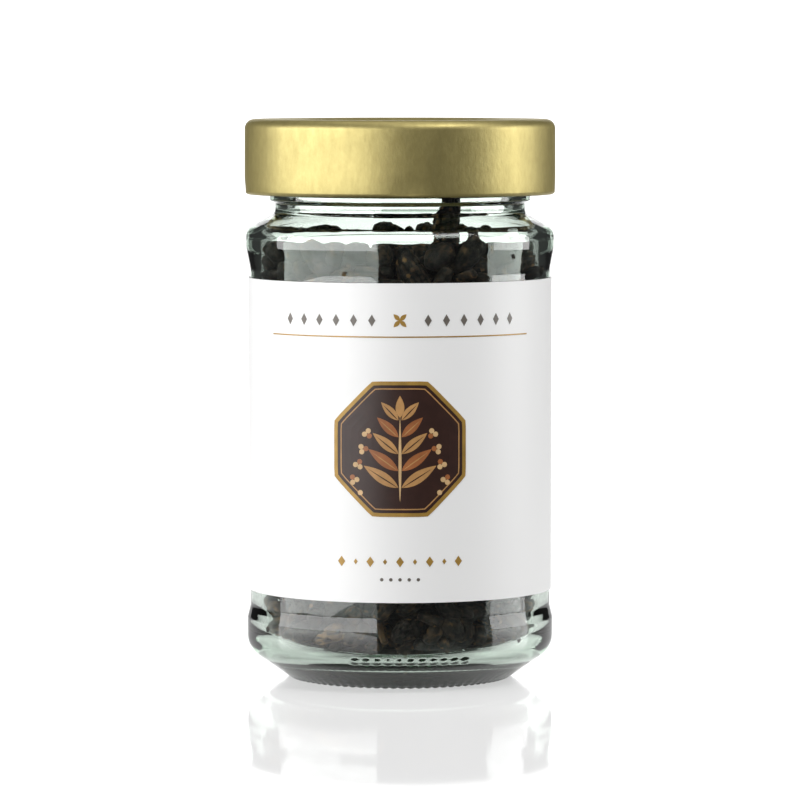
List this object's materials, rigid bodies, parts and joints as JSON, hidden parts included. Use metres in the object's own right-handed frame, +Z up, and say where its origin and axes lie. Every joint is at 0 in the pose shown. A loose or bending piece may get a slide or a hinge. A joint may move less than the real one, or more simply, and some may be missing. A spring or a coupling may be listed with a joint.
{
  "type": "jar of whole long pepper",
  "caption": "Clear glass jar with a deep gold twist-off lid and a white wrap label, filled with whole dried long peppers; the lid turns and rises on its thread.",
  "frame": {"origin": "on the jar's axis, in the plane of the foot ring that it stands on", "axes": "+Z up along the jar's axis, -Y towards the middle of the label, +X to the right of the label"},
  "size_m": [0.066, 0.066, 0.1188],
  "materials": {
    "glass": "clear pressed glass, green-tinted where it is thick",
    "label_paper": "white satin paper",
    "liner": "cream sealing compound",
    "lid_gold": "satin gold lacquer on tinplate",
    "pepper": "dull dried fruit spikes"
  },
  "bodies": {
    "jar": {"jar_glass": "glass", "jar_label": "label_paper", "pepper_01": "pepper", "pepper_02": "pepper", "pepper_03": "pepper", "pepper_04": "pepper", "pepper_05": "pepper", "pepper_06": "pepper", "pepper_07": "pepper", "pepper_08": "pepper", "pepper_09": "pepper", "pepper_10": "pepper", "pepper_11": "pepper", "pepper_12": "pepper", "pepper_13": "pepper", "pepper_14": "pepper", "pepper_15": "pepper", "pepper_16": "pepper", "pepper_17": "pepper", "pepper_18": "pepper", "pepper_19": "pepper", "pepper_20": "pepper", "pepper_21": "pepper", "pepper_22": "pepper", "pepper_23": "pepper", "pepper_24": "pepper", "pepper_25": "pepper", "pepper_26": "pepper", "pepper_27": "pepper", "pepper_28": "pepper", "pepper_29": "pepper", "pepper_30": "pepper", "pepper_31": "pepper", "pepper_32": "pepper", "pepper_33": "pepper", "pepper_34": "pepper", "pepper_35": "pepper", "pepper_36": "pepper", "pepper_37": "pepper", "pepper_38": "pepper", "pepper_39": "pepper", "pepper_40": "pepper", "pepper_41": "pepper", "pepper_42": "pepper", "pepper_43": "pepper", "pepper_44": "pepper", "pepper_45": "pepper", "pepper_46": "pepper", "pepper_47": "pepper", "pepper_48": "pepper", "pepper_49": "pepper", "pepper_50": "pepper"},
    "seal": {"lid_liner": "liner"},
    "lid": {"jar_lid": "lid_gold"}
  },
  "joints": [
    {"name": "lid_rise", "type": "slide", "parent": "jar", "child": "seal", "axis": [0, 0, 1], "range_m": [0, 0.0018]},
    {"name": "lid_turn", "type": "hinge", "parent": "seal", "child": "lid", "pos_m": [0, 0, 0.11], "axis": [0, 0, 1], "range_deg": [0, 65]}
  ],
  "couplings": [
    {"joint": "lid_turn", "follows": "lid_rise", "rad_per_m": 628.32}
  ]
}
